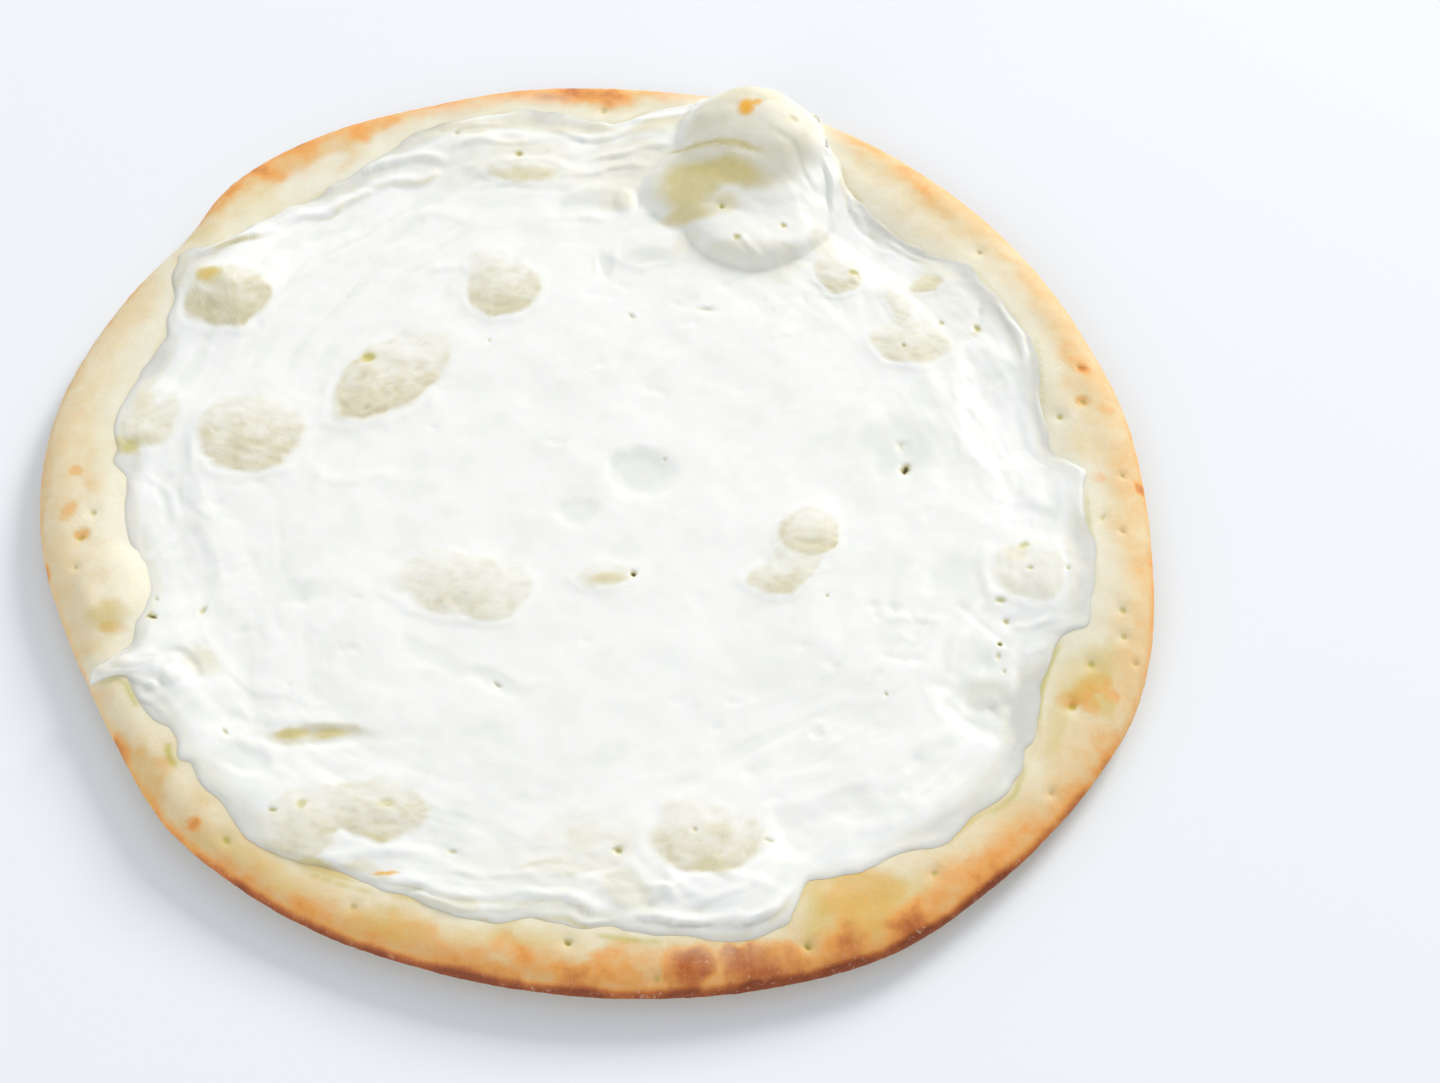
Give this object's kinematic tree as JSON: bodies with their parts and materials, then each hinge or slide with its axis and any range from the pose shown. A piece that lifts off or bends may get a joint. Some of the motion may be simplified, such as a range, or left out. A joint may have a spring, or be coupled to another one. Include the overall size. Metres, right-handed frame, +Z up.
{
  "type": "labneh flatbread",
  "caption": "Round baked flatbread with a blistered, raised crust rim and a thick, folded layer of labneh spread over its middle.",
  "frame": {"origin": "on the table under the bread, in the middle of its bounding box", "axes": "+Z up, +X to the right and +Y away from the eater, with the large bubble at the far side"},
  "size_m": [0.2712, 0.2686, 0.0228],
  "materials": {
    "bread_crust": "baked wheat dough, pale cream with golden and brown spots, matt, finely rough",
    "labneh": "strained yoghurt, creamy white, soft satin, browned where it is thin over bubbles"
  },
  "bodies": {
    "root": {"flatbread": "bread_crust", "labneh_spread": "labneh"}
  },
  "joints": []
}
